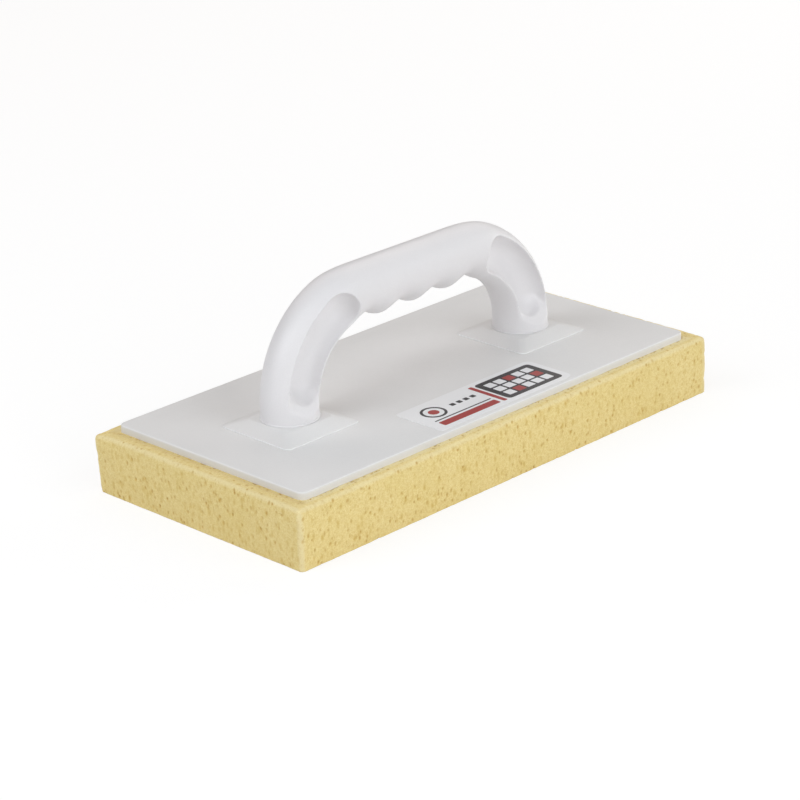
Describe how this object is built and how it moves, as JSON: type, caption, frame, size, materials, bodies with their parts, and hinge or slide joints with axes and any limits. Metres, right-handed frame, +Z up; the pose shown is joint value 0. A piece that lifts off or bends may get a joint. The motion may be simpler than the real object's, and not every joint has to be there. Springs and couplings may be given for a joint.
{
  "type": "grout float",
  "caption": "Sponge float for washing off tile grout: a yellow foam block under an off-white moulded plate, with a closed bail handle that has finger grooves and scooped legs.",
  "frame": {"origin": "centre of the sponge's bottom face, the face that wipes the tiles", "axes": "+X along the float's length, +Y across it away from the label, +Z up through the handle"},
  "size_m": [0.28, 0.14, 0.1013],
  "materials": {
    "sponge": "open-cell hydrophilic foam, matte, yellow",
    "glue": "dried contact adhesive",
    "plate_plastic": "moulded plastic, satin off-white",
    "handle_plastic": "moulded plastic, satin off-white",
    "screw_steel": "zinc plated steel",
    "label_paper": "printed coated paper"
  },
  "bodies": {
    "root": {"sponge_pad": "sponge", "glue_film": "glue", "base_plate": "plate_plastic", "handle": "handle_plastic", "label_sticker": "label_paper", "handle_screw_1": "screw_steel", "handle_screw_2": "screw_steel", "handle_screw_3": "screw_steel", "handle_screw_4": "screw_steel"}
  },
  "joints": []
}
